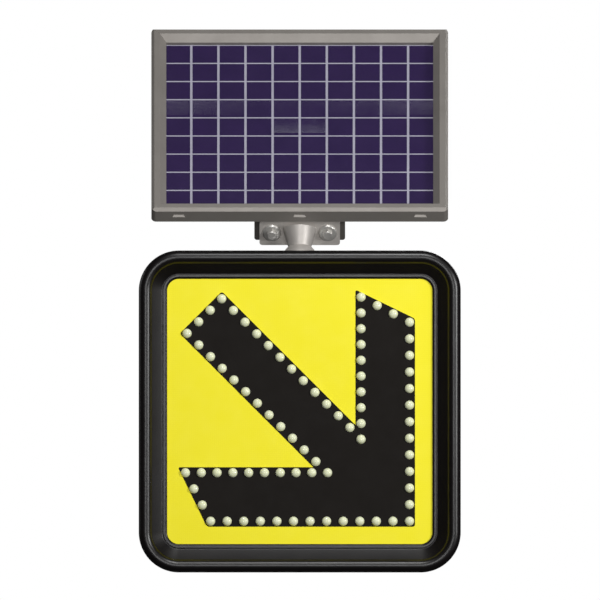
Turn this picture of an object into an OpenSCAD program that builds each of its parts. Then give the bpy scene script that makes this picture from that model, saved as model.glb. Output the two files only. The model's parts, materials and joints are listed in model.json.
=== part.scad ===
// Solar-powered LED arrow sign for a round post.
// Millimetres, +Z up, the sign looks along -Y. The origin is the centre of the upper pole clamp.

/* [Sign cabinet] */
// Outside width and height of the square cabinet
cabinet_size = 600; // [598:1:604]
// Outside corner radius of the cabinet
cabinet_corner = 75; // [72:1:80]
// Radius of the half-round bead along the edge of the bezel
bead_r = 12.5; // [12:0.1:12.8]
// Outside width and height of the box behind the bezel
housing_size = 490; // [488:1:492]
// Wall thickness of the box behind the bezel
housing_wall = 3; // [2:0.5:3]

/* [Arrow and lamps] */
// Half-width of the arrow's diagonal shaft
shaft_half = 55.5; // [53:0.5:56]
// Diameter of one lamp's dome
dome_d = 17.4; // [16:0.2:18]
// Radius of a lamp's stem through the face
stem_r = 6; // [5.5:0.1:6.5]

/* [Solar panel] */
// Width of the panel
panel_w = 553; // [545:1:560]
// Height of the panel, measured up its slope
panel_h = 480; // [475:1:485]
// Thickness of the panel's frame
panel_t = 32; // [31:0.5:34]
// Slope of the panel at rest, in degrees from level
panel_slope = 45; // [44:0.5:46]
// Columns of solar cells
cell_columns = 10; // [8:1:12]
// Rows of solar cells
cell_rows = 9; // [8:1:10]

/* [Swivel] */
// Radius of the ball
ball_r = 33.5; // [33:0.1:33.6]
// Height of the ball's centre above the middle of the cabinet
ball_z = 281.3; // [280:0.1:283]
// Lean of the arm's cone, in degrees back from upright
cone_lean = 16; // [15:0.5:17]

/* [Pole clamps] */
// Radius of the post that the clamps hold
pole_r = 38.05; // [37:0.05:38.5]
// Height of each clamp above and below the middle of the cabinet
clamp_z = 150; // [145:1:155]
// Height of one clamp band
clamp_h = 40; // [36:1:44]

/* [Service door] */
// Width of the door
door_w = 179; // [176:1:180]
// Height of the door
door_h = 260; // [250:1:264]

/* [Hidden] */
$fn = 72;
cut = 1;                      // how far a cutting shape runs past the wall it cuts
hex = 6;                      // sides of a hexagon

// Depths behind the crest of the bezel's bead, from front to back
lip_back = 25;
film_front = 26.1;
sheet_front = 26.5;
face_front = 27;
face_back = 30;
board_front = 38;
board_back = 39.6;
bezel_back = 42;
bezel_skirt = 48;
flange_front = 44;
flange_back = 47;
housing_back = 137;
housing_inner_back = housing_back - housing_wall;
channel_back = 157;
pole_y = 203;

// Insets from the outside edge of the cabinet
lip_inset = 53;
inner_wall_inset = 36.5;
face_inset = 37;
screw_inset = 18;
flange_inset = 5;
rim_screw_xs = [-210, -70, 70, 210];
spacer_inset = 50;

// Housing
housing_corner = 30;
housing_half = housing_size / 2;
inside_half = housing_half - housing_wall;
ball_y = (flange_back + housing_back) / 2;
gland_x = -130;
vent_x = -120;
screw_r = 2;
screw_hole_r = 2.7;
base_hole_r = 24;

// Battery, charge controller and wiring inside the housing
battery_size = [151, 65, 94];
battery_x = 147;
battery_y = 94;
shelf_top = -198;
shelf_t = 3;
shelf_w = 164;
shelf_d = 72;
shelf_leg_x = 66;
strap_w = 26;
strap_t = 1.5;
terminal_x = 212;
terminal_ys = [80, 108];
terminal_h = 6;
controller_x = 208;
controller_bottom = -60;
controller_top = 40;
controller_ys = [62, 126];
block_h = 12;
loom_x = 225;
loom_z = 95;
loom_r = 2.6;
loom_bend = 15;
plug_t = 7;

// Power switch
switch_x = -150;
switch_z = -150;
switch_w = 21;
switch_h = 32;
rocker_y = 136.5;
rocker_pin_r = 1.5;
rocker_tilt = 8;

// Channel and pole clamps
channel_half = 45;
channel_wall = 3;
channel_slot = 31;
channel_end = 200;
channel_bolt_zs = [-185, -60, 60, 185];
saddle_bolt_x = 36;
saddle_bolt_z = 12;
clamp_wall = 6;
ear_x = 54;
ear_out = 62;
ear_t = 5;
half_gap = 2;
foot_back = channel_back + 6;

// Arrow: upper half of the outline and of the two rows of lamps; the other half mirrors it
arm_inner_x = 103.9;
arm_outer_x = 214.8;
arm_inner_top = 227;
arm_outer_top = 173;
shaft_sum = shaft_half * sqrt(2);
shaft_end = 368.7;
lamp_inset = 10.3;
arm_lamps_low = -51.8;
arm_lamps_high = 213;
shaft_lamps_low = [93.4, -30];
shaft_lamps_high = [-145.5, 210];

// Panel frame section, measured in from the outside edge and down from the front face
frame_chamfer = 5.3;
frame_flat_end = 15.9;
frame_inner = 27.9;
frame_bevel = 12;
glass_depth = 18.5;
glass_inset = 21;
glass_t = 3.2;
cell_t = 0.4;
backsheet_t = 0.6;
slot_bottom = 23.2;
frame_skirt = 3.5;
frame_corner = 9;
drain_xs = [-225, 0, 225];
key_leg = 45;
key_w = 9.2;
box_v = 370;
box_deep = 20;
laminate_top = glass_depth + 0.1;
box_top = laminate_top + glass_t + cell_t + backsheet_t;
cell_gap_x = 4.4;
cell_gap_y = 3.4;
cell_area_w = panel_w - 52.4;
cell_area_h = panel_h - 53.2;

// Swivel and panel carrier
cone_rim_r = 31;
cone_neck_r = 20.4;
cone_len = 59.6;
neck_start = 22;
rim_t = 1.6;
seat_r = 39;
pivot_r = 4;
pivot_reach = 36.5;
cup_r = 44.5;
ring_t = 3.2;
ring_screw_at = 41.8;
base_bottom = housing_half;
base_floor = base_bottom + 11;
cup_top = ball_z + 9.8;
ring_lip_r = 34;
base_bolt = 37;
plate_back = 22;
plate_z = 337;
plate_lean = 30;
plate_w = 150;
plate_t = 8;
plate_low = -31.2;
plate_high = 19.6;
leaf_w = 169.2;
leaf_t = 4;
leaf_low = -24.8;
leaf_corner = 5;
leaf_top_len = 150;
bolt_x = 52;
bolt_up = -4.6;
flange_t = 4;
rail_x = 57;
rail_w = 30;
rail_d = 20;
rail_wall = 2;
rail_end = 12;
// The rails' lower ends are cut level here, so that they stay hidden behind the frame
rail_low_z = 354.5;
bracket_bolt_vs = [70, 140];
panel_z = ball_z + 94.8;
panel_y = ball_y - 46;

// Service door and hinge
door_edge = 240;
door_low = -200;
door_x = door_edge - door_w / 2;
door_z = door_low + door_h / 2;
door_front = 139;
door_back = 142;
door_overlap = 10;
hinge_x = housing_half + 4;
hinge_r = 4;
hinge_pin_r = 2;
hinge_len = 60;
hinge_zs = [door_low + 50, door_low + door_h - 50];
hinge_middle = 24;
outer_knuckle = (hinge_len - hinge_middle) / 2 - 0.4;
lock_x = door_edge - door_w + 24;
lock_z = door_z;
lock_core_r = 5;
running_gap = 0.05;
bolt_gap = 0.3;

function mirrored(p) = [-p[1], -p[0]];
function reversed(list) = [for (i = [len(list) - 1:-1:0]) list[i]];
function with_mirror(half) = concat(half, [for (p = reversed(half)) mirrored(p)]);
// Points spaced evenly along a path, gaps[i] steps on leg i, without the path's last point
function spaced(path, gaps) = [
    for (leg = [0:len(gaps) - 1]) for (step = [0:gaps[leg] - 1])
        path[leg] + (path[leg + 1] - path[leg]) * step / gaps[leg]
];
arm_outline = [
    [arm_inner_x, shaft_sum - arm_inner_x], [arm_inner_x, arm_inner_top],
    [arm_outer_x, arm_outer_top]
];
arrow_outline = with_mirror(concat(
    [[(shaft_sum - shaft_end) / 2, (shaft_sum + shaft_end) / 2]], arm_outline,
    [[arm_outer_x, -arm_outer_x]]
));
arm_lamp_x = arm_outer_x - lamp_inset;
arm_path = with_mirror([
    [arm_inner_x + lamp_inset, arm_lamps_low], [arm_inner_x + lamp_inset, arm_lamps_high],
    [arm_lamp_x, arm_outer_top - lamp_inset * 0.66], [arm_lamp_x, -arm_lamp_x]
]);
shaft_path = with_mirror([shaft_lamps_low, shaft_lamps_high]);
lamp_points = concat(
    spaced(arm_path, [9, 3, 12]), spaced([for (i = [4:7]) arm_path[i]], [12, 3, 9]), [arm_path[7]],
    spaced(shaft_path, [11, 3, 11]), [shaft_path[3]]
);
standoff_points = [
    [225, 225], [-225, 225], [-225, -225], [225, -225], [0, 0], [160, 60], [-60, -160]
];

function polar(angle) = [cos(angle), sin(angle)];
// The bracket's leaf starts on the back of the plate, and bends where it meets the panel's rails
leaf_start = [ball_y + plate_back, plate_z] + plate_t * polar(plate_lean);
leaf_start_depth = (leaf_start - [panel_y, panel_z]) * polar(panel_slope + 90);
leaf_high = -(panel_t + rail_d + leaf_start_depth) / cos(panel_slope - plate_lean);

// ---------- shared shapes ----------

module in_row() translate([0, -pole_y, -clamp_z]) children();
module at_ball() translate([0, ball_y, ball_z]) children();
// Plate frame: Z runs up the plate, Y goes back through it
module at_plate()
    translate([0, ball_y + plate_back, plate_z]) rotate([plate_lean, 0, 0]) children();
// Panel frame: Y runs up the slope from the lower edge, Z leaves the front face
module at_panel() translate([0, panel_y, panel_z]) rotate([panel_slope, 0, 0]) children();

module rounded_rect(w, h, r) {
    square([w - 2 * r, h], center = true);
    square([w, h - 2 * r], center = true);
    for (x = [-1, 1], y = [-1, 1]) translate([x * (w / 2 - r), y * (h / 2 - r)]) circle(r);
}

// A flat shape standing upright, from depth front to depth back
module slab(front, back)
    translate([0, back, 0]) rotate([90, 0, 0]) linear_extrude(back - front) children();

// A round post from depth front to depth back at one place on the sign
module dowel(point, front, back, r, sides = $fn)
    translate([point[0], back, point[1]]) rotate([90, 0, 0]) cylinder(r = r, h = back - front, $fn = sides);

// The cabinet's rounded square, brought in from its edge
module cabinet_outline(inset)
    rounded_rect(cabinet_size - 2 * inset, cabinet_size - 2 * inset, cabinet_corner - inset);

// A rounded square frame between two insets from the cabinet's edge
module cabinet_ring(outer_inset, inner_inset) difference() {
    cabinet_outline(outer_inset);
    cabinet_outline(inner_inset);
}

module at_rim_screws() for (turn = [0:3], x = rim_screw_xs)
    rotate([0, 90 * turn, 0]) translate([x, 0, cabinet_size / 2 - screw_inset]) children();

module at_lamps() for (p = lamp_points) translate([p[0], 0, p[1]]) children();
module lamp_holes(r) for (p = lamp_points) translate(p) circle(r);

// A hexagon-headed bolt along +Z: head below z = 0, shank above it, optional nut near the end
module bolt(r, len, head_r, head_h, nut_at = 0) {
    translate([0, 0, -head_h]) cylinder(r = head_r, h = head_h, $fn = hex);
    cylinder(r = r, h = len);
    if (nut_at > 0) translate([0, 0, nut_at]) difference() {
        cylinder(r = head_r, h = head_h, $fn = hex);
        translate([0, 0, -cut]) cylinder(r = r + bolt_gap, h = head_h + 2 * cut);
    }
}

// ---------- face of the sign ----------

module section_area(points) polygon([for (p = points) [cabinet_corner - p[0], -p[1]]]);

module bezel_section() difference() {
    union() {
        translate([cabinet_corner - bead_r, -bead_r]) circle(bead_r);
        section_area([
            [0, bead_r], [0, bezel_skirt], [3.5, bezel_skirt], [3.5, bezel_back],
            [inner_wall_inset, bezel_back], [inner_wall_inset, lip_back], [lip_inset, lip_back],
            [lip_inset, 23], [lip_inset - 2.5, 21], [43.5, 21], [25.4, 9.5], [24, 9.5], [21, bead_r]
        ]);
    }
    translate([cabinet_corner - bead_r, -bead_r]) circle(bead_r - 3.5);
    section_area([
        [3.5, bead_r], [3.5, bezel_back + cut], [33, bezel_back + cut], [33, 18.2], [24, 12.5],
        [21, bead_r]
    ]);
}

module bezel_sweep() {
    run = cabinet_size - 2 * cabinet_corner;
    for (turn = [0:3]) rotate([0, 90 * turn, 0]) translate([run / 2, 0, run / 2]) rotate([90, 0, 0]) {
        rotate_extrude(angle = 90) bezel_section();
        rotate([90, 0, 0]) linear_extrude(run) bezel_section();
    }
}

module front_bezel() color([0.08, 0.07, 0.07]) in_row() difference() {
    union() {
        bezel_sweep();
        at_rim_screws() dowel([0, 0], 9, bezel_back, 6);
    }
    at_rim_screws() dowel([0, 0], 20, bezel_back + cut, screw_r + running_gap);
}

module bezel_gasket() color([0.12, 0.12, 0.12]) in_row()
    slab(lip_back, sheet_front) cabinet_ring(inner_wall_inset + 1.5, lip_inset - 1.5);

module face_plate_shape() difference() {
    cabinet_outline(face_inset);
    lamp_holes(stem_r + bolt_gap);
}

module yellow_sheeting() color([0.98, 0.92, 0.22]) in_row()
    slab(sheet_front, face_front) face_plate_shape();

module arrow_film() color([0.14, 0.13, 0.12]) in_row() slab(film_front, sheet_front) difference() {
    polygon(arrow_outline);
    lamp_holes(stem_r + bolt_gap);
}

module face_panel() color([0.75, 0.76, 0.78]) in_row()
    slab(face_front, face_back) face_plate_shape();

module face_spacer() color([0.2, 0.2, 0.2]) in_row()
    slab(face_back, flange_front) cabinet_ring(face_inset + 0.5, spacer_inset);

// One lamp's dome and stem along +Z, hollow behind for its LED
module lens() difference() {
    union() {
        intersection() {
            translate([0, 0, -1.2]) sphere(dome_d / 2 + 0.1);
            cylinder(r = dome_d / 2, h = dome_d / 2);
        }
        translate([0, 0, -7.5]) cylinder(r = stem_r, h = 8);
    }
    translate([0, 0, -8]) cylinder(r = 3, h = 6);
}

module led_lenses() color([0.92, 0.93, 0.8]) in_row() at_lamps()
    translate([0, film_front, 0]) rotate([90, 0, 0]) lens();

module lens_retainers() color([0.8, 0.8, 0.82]) in_row() at_lamps() difference() {
    dowel([0, 0], face_back, face_back + 1.2, stem_r + 2.4);
    dowel([0, 0], face_back - cut, face_back + 2 * cut, stem_r + running_gap);
}

module led_emitters() color([1, 0.85, 0.4]) in_row() at_lamps() {
    dowel([0, 0], 32, board_front, 2.5);
    translate([0, 32, 0]) sphere(2.5, $fn = 24);
}

module led_board() color([0.1, 0.35, 0.2]) in_row() slab(board_front, board_back) difference() {
    rounded_rect(470, 470, 12);
    for (p = standoff_points) translate(p) circle(2);
}

module board_standoffs() color([0.8, 0.75, 0.5]) in_row() for (p = standoff_points) {
    dowel(p, face_back, board_front, 4, hex);
    dowel(p, board_front, board_back, 1.7);
    dowel(p, board_back, board_back + 2.2, 3.4);
}

// ---------- rear housing ----------

module door_opening(grow = 0) translate([door_x, door_z])
    rounded_rect(door_w - 2 * door_overlap + grow, door_h - 2 * door_overlap + grow, 8);

// A round hole through the housing's wall that starts at a height
module wall_hole(low, r) translate([0, 0, low - cut]) cylinder(r = r, h = 2 * cut + housing_wall);

module rear_housing() color([0.16, 0.16, 0.17]) in_row() difference() {
    union() {
        slab(flange_front, flange_back) cabinet_outline(flange_inset);
        slab(flange_back, housing_back) rounded_rect(housing_size, housing_size, housing_corner);
    }
    slab(flange_front - cut, housing_inner_back)
        rounded_rect(2 * inside_half, 2 * inside_half, housing_corner - housing_wall);
    slab(housing_inner_back - cut, housing_back + cut) door_opening();
    at_rim_screws() dowel([0, 0], flange_front - cut, flange_back + cut, screw_hole_r);
    at_base_bolts() wall_hole(inside_half, 3.3);
    translate([0, ball_y, 0]) wall_hole(inside_half, base_hole_r);
    translate([gland_x, ball_y, 0]) wall_hole(inside_half, 8.3);
    translate([vent_x, ball_y, 0]) wall_hole(-housing_half, 6.3);
    for (z = channel_bolt_zs) dowel([0, z], housing_inner_back - cut, housing_back + cut, 4.3);
    translate([switch_x, 0, switch_z]) slab(housing_inner_back - cut, housing_back + cut)
        square([switch_w, switch_h], center = true);
}

module housing_gasket() color([0.1, 0.1, 0.1]) in_row() difference() {
    slab(bezel_back, flange_front) cabinet_ring(flange_inset + 1, inner_wall_inset);
    at_rim_screws() dowel([0, 0], bezel_back - cut, flange_front + cut, screw_hole_r);
}

module housing_screws() color([0.7, 0.7, 0.72]) in_row() at_rim_screws() {
    dowel([0, 0], flange_back, flange_back + 3, 4.6);
    dowel([0, 0], 24, flange_back, screw_r);
}

module battery_shelf() color([0.7, 0.7, 0.72]) in_row() {
    translate([battery_x - shelf_w / 2, battery_y - shelf_d / 2, shelf_top - shelf_t])
        cube([shelf_w, shelf_d, shelf_t]);
    for (side = [-1, 1])
        translate([battery_x + side * shelf_leg_x - shelf_t / 2, battery_y - shelf_d / 2, -inside_half])
            cube([shelf_t, shelf_d, shelf_top - shelf_t + inside_half]);
    translate([battery_x - shelf_w / 2, battery_y - shelf_d / 2, shelf_top]) cube([shelf_w, 2, 12]);
}

module battery() color([0.3, 0.32, 0.35]) in_row()
    translate([battery_x - battery_size[0] / 2, battery_y - battery_size[1] / 2, shelf_top])
        cube(battery_size);

module battery_terminals() color([0.85, 0.7, 0.3]) in_row() for (y = terminal_ys)
    translate([terminal_x - 5, y - 4, shelf_top + battery_size[2]]) cube([10, 8, terminal_h]);

module battery_strap() color([0.1, 0.1, 0.12]) in_row() difference() {
    translate([battery_x - strap_w / 2, battery_y - battery_size[1] / 2 - strap_t, shelf_top])
        cube([strap_w, battery_size[1] + 2 * strap_t, battery_size[2] + strap_t]);
    translate([battery_x - strap_w, battery_y - battery_size[1] / 2, shelf_top - cut])
        cube([2 * strap_w, battery_size[1], battery_size[2] + cut]);
}

module charge_controller() color([0.15, 0.3, 0.55]) in_row()
    translate([controller_x, controller_ys[0], controller_bottom]) cube([
        inside_half - controller_x, controller_ys[1] - controller_ys[0],
        controller_top - controller_bottom
    ]);

module controller_terminals() color([0.2, 0.55, 0.3]) in_row()
    translate([controller_x + 2, controller_ys[0] + 6, controller_bottom - block_h])
        cube([18, controller_ys[1] - controller_ys[0] - 12, block_h]);

module cable_loom() color([0.75, 0.15, 0.12]) in_row() {
    wire_low = shelf_top + battery_size[2] + terminal_h;
    for (y = terminal_ys) translate([terminal_x + 3, y, wire_low])
        cylinder(r = 1.8, h = controller_bottom - block_h - wire_low);
    translate([loom_x, ball_y, controller_top])
        cylinder(r = loom_r, h = loom_z - loom_bend - controller_top);
    translate([loom_x, ball_y - loom_bend, loom_z - loom_bend]) rotate([90, 0, 90])
        rotate_extrude(angle = 90) translate([loom_bend, 0]) circle(loom_r);
    dowel([loom_x, loom_z], board_back + plug_t, ball_y - loom_bend, loom_r);
    translate([loom_x - 8, board_back, loom_z - 6]) cube([16, plug_t, 12]);
}

module cable_gland() color([0.12, 0.12, 0.13]) in_row() translate([gland_x, ball_y, 0]) {
    translate([0, 0, inside_half - 8]) cylinder(r = 8, h = housing_wall + 8);
    translate([0, 0, inside_half - 5]) cylinder(r = 12, h = 5, $fn = hex);
    translate([0, 0, housing_half]) cylinder(r = 12, h = 7, $fn = hex);
    translate([0, 0, housing_half + 7]) cylinder(r1 = 10.5, r2 = 7.5, h = 12);
}

module vent_plug() color([0.12, 0.12, 0.13]) in_row() translate([vent_x, ball_y, 0]) {
    translate([0, 0, -housing_half - 5]) cylinder(r = 9.5, h = 5);
    translate([0, 0, -housing_half]) cylinder(r = 6, h = housing_wall + 6);
}

module switch_body() color([0.06, 0.06, 0.06]) in_row() translate([switch_x, 0, switch_z]) difference() {
    union() {
        slab(housing_back, housing_back + 2) square([switch_w + 6, switch_h + 6], center = true);
        slab(housing_back - 20, housing_back) square([switch_w - 0.6, switch_h - 0.6], center = true);
    }
    slab(housing_back - 8, housing_back + 3) square([14, 24], center = true);
    translate([0, rocker_y, 0]) rotate([0, 90, 0])
        cylinder(r = rocker_pin_r + running_gap, h = 18, center = true);
}

module power_rocker() color([0.7, 0.08, 0.06]) in_row() translate([switch_x, rocker_y, switch_z])
    rotate([-rocker_tilt, 0, 0]) rotate([0, 90, 0]) {
        cylinder(r = rocker_pin_r, h = 17, center = true);
        translate([0, 0, -6.5]) linear_extrude(13) union() {
            circle(4.5);
            polygon([[0, 0], [-10.5, 3.4], [-10, 6.4], [0, 4.8], [10, 6.4], [10.5, 3.4]]);
        }
    }

// ---------- service door ----------

module door_gasket() color([0.1, 0.1, 0.1]) in_row() slab(housing_back, door_front - 0.1) difference() {
    door_opening(2 * door_overlap - 4);
    door_opening(2);
}

module service_door() color([0.18, 0.18, 0.19]) in_row() difference() {
    slab(door_front, door_back) door_opening(2 * door_overlap);
    dowel([lock_x, lock_z], door_front - cut, door_back + cut, 9.3);
}

module at_hinges() for (z = hinge_zs) translate([hinge_x, door_back, z]) children();
module knuckle(length) difference() {
    cylinder(r = hinge_r, h = length, center = true);
    cylinder(r = hinge_pin_r + running_gap, h = length + 2 * cut, center = true);
}

module hinge_leaf_housing() color([0.62, 0.62, 0.64]) in_row() at_hinges() difference() {
    union() {
        for (side = [-1, 1]) translate([0, 0, side * (hinge_len - outer_knuckle) / 2]) {
            cylinder(r = hinge_r, h = outer_knuckle, center = true);
            translate([-hinge_r, -14, -outer_knuckle / 2]) cube([2, 14, outer_knuckle]);
        }
        translate([-hinge_r, -30, -hinge_len / 2]) cube([2, 18, hinge_len]);
    }
    cylinder(r = hinge_pin_r + running_gap, h = hinge_len + 2 * cut, center = true);
}

module hinge_leaf_door() color([0.62, 0.62, 0.64]) in_row() at_hinges() difference() {
    union() {
        cylinder(r = hinge_r, h = hinge_middle, center = true);
        translate([-12, 0, -hinge_middle / 2]) cube([12, 2, hinge_middle]);
        translate([-34, 0, -hinge_len / 2]) cube([24, 2, hinge_len]);
    }
    cylinder(r = hinge_pin_r + running_gap, h = hinge_len, center = true);
}

module hinge_pins() color([0.75, 0.75, 0.77]) in_row() at_hinges() {
    cylinder(r = hinge_pin_r, h = hinge_len + 2, center = true);
    translate([0, 0, hinge_len / 2 + 0.2]) cylinder(r = 3.2, h = 1.6);
}

module lock_body() color([0.72, 0.72, 0.74]) in_row() difference() {
    union() {
        dowel([lock_x, lock_z], door_back, door_back + 4, 12);
        dowel([lock_x, lock_z], door_front - 7, door_back, 9);
    }
    dowel([lock_x, lock_z], door_front - 8, door_back + 5, lock_core_r + running_gap);
}

module lock_cam() color([0.8, 0.8, 0.82]) in_row() difference() {
    union() {
        dowel([lock_x, lock_z], door_front - 14, door_back + 4, lock_core_r);
        slab(door_front - 10.5, door_front - 7.5) cam_plan();
    }
    translate([lock_x, door_back + 3, lock_z]) cube([1.6, 4, 7], center = true);
}

module cam_plan() translate([lock_x, lock_z]) {
    circle(7);
    translate([-6, -26]) square([12, 26]);
}

// ---------- pole mount ----------

module mounting_channel() color([0.6, 0.61, 0.62]) in_row() difference() {
    translate([0, 0, -channel_end]) linear_extrude(2 * channel_end) difference() {
        translate([-channel_half, housing_back])
            square([2 * channel_half, channel_back - housing_back]);
        translate([channel_wall - channel_half, housing_back + channel_wall])
            square([2 * (channel_half - channel_wall), channel_back - housing_back - 2 * channel_wall]);
        translate([-channel_slot, channel_back - channel_wall - cut])
            square([2 * channel_slot, channel_wall + 2 * cut]);
    }
    for (z = channel_bolt_zs) dowel([0, z], housing_back - cut, housing_back + channel_wall + cut, 4.3);
    at_saddle_bolts() dowel([0, 0], channel_back - channel_wall - cut, channel_back + cut, 3.3);
}

module channel_bolts() color([0.75, 0.75, 0.77]) in_row() for (z = channel_bolt_zs)
    translate([0, housing_back + channel_wall, z]) rotate([90, 0, 0])
        bolt(4, 14, 7.3, 5.3, channel_wall + housing_wall);

module at_saddle_bolts() for (z = [-clamp_z, clamp_z], side = [-1, 1], up = [-1, 1])
    translate([side * saddle_bolt_x, 0, z + up * saddle_bolt_z]) children();

module at_clamps() for (z = [-clamp_z, clamp_z]) translate([0, 0, z]) children();

module clamp_band(near, far) intersection() {
    translate([0, pole_y, 0]) cylinder(r = pole_r + clamp_wall, h = clamp_h, center = true);
    translate([-100, near, -clamp_h]) cube([200, far - near, 2 * clamp_h]);
}

module clamp_ears(near) difference() {
    translate([-ear_out, near, -clamp_h / 2]) cube([2 * ear_out, ear_t, clamp_h]);
    for (side = [-1, 1]) dowel([side * ear_x, 0], near - cut, near + ear_t + cut, 4.3);
}

module pole_bore()
    translate([0, pole_y, 0]) cylinder(r = pole_r, h = clamp_h + 2 * cut, center = true);

module clamp_saddles() color([0.62, 0.63, 0.64]) in_row() at_clamps() difference() {
    union() {
        clamp_band(pole_y - 60, pole_y - half_gap);
        clamp_ears(pole_y - half_gap - ear_t);
        translate([-channel_half, channel_back, -clamp_h / 2])
            cube([2 * channel_half, foot_back - channel_back, clamp_h]);
        translate([-22, foot_back - cut, -clamp_h / 2]) cube([44, 12, clamp_h]);
    }
    pole_bore();
    for (side = [-1, 1], up = [-1, 1])
        dowel([side * saddle_bolt_x, up * saddle_bolt_z], channel_back - cut, foot_back + cut, 3.3);
}

module saddle_bolts() color([0.75, 0.75, 0.77]) in_row() at_saddle_bolts()
    translate([0, foot_back, 0]) rotate([90, 0, 0]) bolt(3, 17, 5.7, 4, 9.2);

module clamp_caps() color([0.62, 0.63, 0.64]) in_row() at_clamps() difference() {
    union() {
        clamp_band(pole_y + half_gap, pole_y + 60);
        clamp_ears(pole_y + half_gap);
    }
    pole_bore();
}

module clamp_bolts() color([0.75, 0.75, 0.77]) in_row() at_clamps() for (side = [-1, 1])
    translate([side * ear_x, pole_y + half_gap + ear_t, 0]) rotate([90, 0, 0])
        bolt(4, 26, 7.3, 5.3, 2 * (ear_t + half_gap) + 0.2);

// ---------- swivel ----------

module at_base_bolts() for (x = [-1, 1], y = [-1, 1])
    translate([x * base_bolt, ball_y + y * base_bolt, 0]) children();

module swivel_base() color([0.5, 0.5, 0.5]) in_row() difference() {
    union() {
        translate([0, ball_y, base_bottom]) linear_extrude(7) rounded_rect(88, 88, 8);
        translate([0, ball_y, base_bottom]) cylinder(r = cup_r, h = cup_top - base_bottom);
    }
    translate([0, ball_y, base_floor]) cylinder(r = seat_r + running_gap, h = 60);
    translate([0, ball_y, base_bottom - cut]) cylinder(r = base_hole_r, h = 60);
    at_base_bolts() translate([0, 0, base_bottom - cut]) cylinder(r = 3.3, h = 10);
    at_ring_screws() translate([0, 0, cup_top - 12]) cylinder(r = 1.65, h = 20);
}

module swivel_base_bolts() color([0.75, 0.75, 0.77]) in_row() at_base_bolts()
    translate([0, 0, base_bottom + 7]) mirror([0, 0, 1]) bolt(3, 20, 5.7, 4, 10.2);

module at_ring_screws() for (turn = [0:3])
    translate([0, ball_y, 0]) rotate(45 + 90 * turn) translate([ring_screw_at, 0, 0]) children();

module clamp_ring() color([0.45, 0.45, 0.45]) in_row() difference() {
    translate([0, ball_y, cup_top]) cylinder(r = cup_r, h = ring_t);
    translate([0, ball_y, cup_top - cut]) cylinder(r = ring_lip_r, h = 6);
    at_ring_screws() translate([0, 0, cup_top - cut]) cylinder(r = 1.9, h = 8);
}

module ring_screws() color([0.75, 0.75, 0.77]) in_row() at_ring_screws() {
    translate([0, 0, cup_top + ring_t]) cylinder(r = 2.6, h = 2.4);
    translate([0, 0, cup_top - 10]) cylinder(r = 1.6, h = 10 + ring_t);
}

// The two stub pins on the ball, along X, that the panel tilts about
module pivot_pins(gap = 0) at_ball() rotate([0, 90, 0])
    cylinder(r = pivot_r + gap, h = 2 * (pivot_reach + 6 * gap), center = true);

// Half of the ball's seat; the pins lie between the halves
module seat_half(low, high) difference() {
    translate([0, ball_y, low]) cylinder(r = seat_r, h = high - low);
    at_ball() sphere(ball_r + 0.15);
    pivot_pins(running_gap);
}

module seat_lower() color([0.85, 0.85, 0.82]) in_row() seat_half(base_floor + 0.1, ball_z - 0.1);
module seat_upper() color([0.85, 0.85, 0.82]) in_row() seat_half(ball_z + 0.1, cup_top - 0.1);

// The arm's cone and the thin rim it ends in
module arm_cone() rotate([-cone_lean, 0, 0]) {
    translate([0, 0, neck_start]) cylinder(r1 = cone_neck_r, r2 = cone_rim_r, h = cone_len - neck_start);
    translate([0, 0, cone_len]) cylinder(r = cone_rim_r, h = rim_t);
}

module swivel_arm() color([0.72, 0.7, 0.67]) in_row() difference() {
    union() {
        at_ball() rotate([-cone_lean, 0, 0]) intersection() {
            sphere(ball_r);
            translate([0, 0, 26]) cube([100, 100, 100], center = true);
        }
        pivot_pins();
        at_ball() arm_cone();
        at_plate() difference() {
            slab(0, plate_t) translate([0, (plate_low + plate_high) / 2])
                rounded_rect(plate_w, plate_high - plate_low, 5.6);
            for (side = [-1, 1]) dowel([side * bolt_x, bolt_up], -cut, plate_t + cut, 5.3);
        }
    }
    at_plate() slab(plate_t, 60) square([200, 200], center = true);
}

module arm_bolts() color([0.66, 0.65, 0.63]) in_row() at_plate() for (side = [-1, 1]) {
    dowel([side * bolt_x, bolt_up], -flange_t, 0, 17.5);
    translate([side * bolt_x, -flange_t, bolt_up]) rotate([-90, 30, 0])
        bolt(5, 32, 9.8, 8.6, flange_t + plate_t + leaf_t);
}

// ---------- panel carrier ----------

module bracket_profile() {
    across_leaf = polar(plate_lean);
    up_leaf = polar(plate_lean + 90);
    across_top = polar(panel_slope - 90);
    up_top = polar(panel_slope);
    bend = leaf_start + leaf_high * up_leaf;
    low = leaf_start + leaf_low * up_leaf;
    high = bend + leaf_top_len * up_top;
    inner_bend = bend + leaf_t * (across_leaf + across_top) / (1 + across_leaf * across_top);
    polygon([low, bend, high, high + leaf_t * across_top, inner_bend, low + leaf_t * across_leaf]);
}

module at_bracket_bolts() at_panel() for (side = [-1, 1], v = bracket_bolt_vs)
    translate([side * rail_x, v, -panel_t - rail_d - leaf_t]) children();

// What rounds one lower corner of the bracket's leaf
module leaf_corner_cut(side) translate([side * (leaf_w / 2 - leaf_corner), leaf_low + leaf_corner])
    difference() {
        translate([side * leaf_corner, -leaf_corner]) square(2 * leaf_corner, center = true);
        circle(leaf_corner);
    }

module panel_bracket() color([0.33, 0.32, 0.31]) in_row() difference() {
    rotate([90, 0, 90]) translate([0, 0, -leaf_w / 2]) linear_extrude(leaf_w) bracket_profile();
    at_plate() for (side = [-1, 1]) {
        dowel([side * bolt_x, bolt_up], plate_t - cut, plate_t + leaf_t + cut, 5.3);
        slab(plate_t - cut, plate_t + leaf_t + cut) leaf_corner_cut(side);
    }
    at_bracket_bolts() translate([0, 0, -5]) cylinder(r = 4.3, h = 30);
}

module bracket_bolts() color([0.75, 0.75, 0.77]) in_row() at_bracket_bolts()
    bolt(4, leaf_t + rail_wall + 8, 7.3, 5.3, leaf_t + rail_wall);

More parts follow.
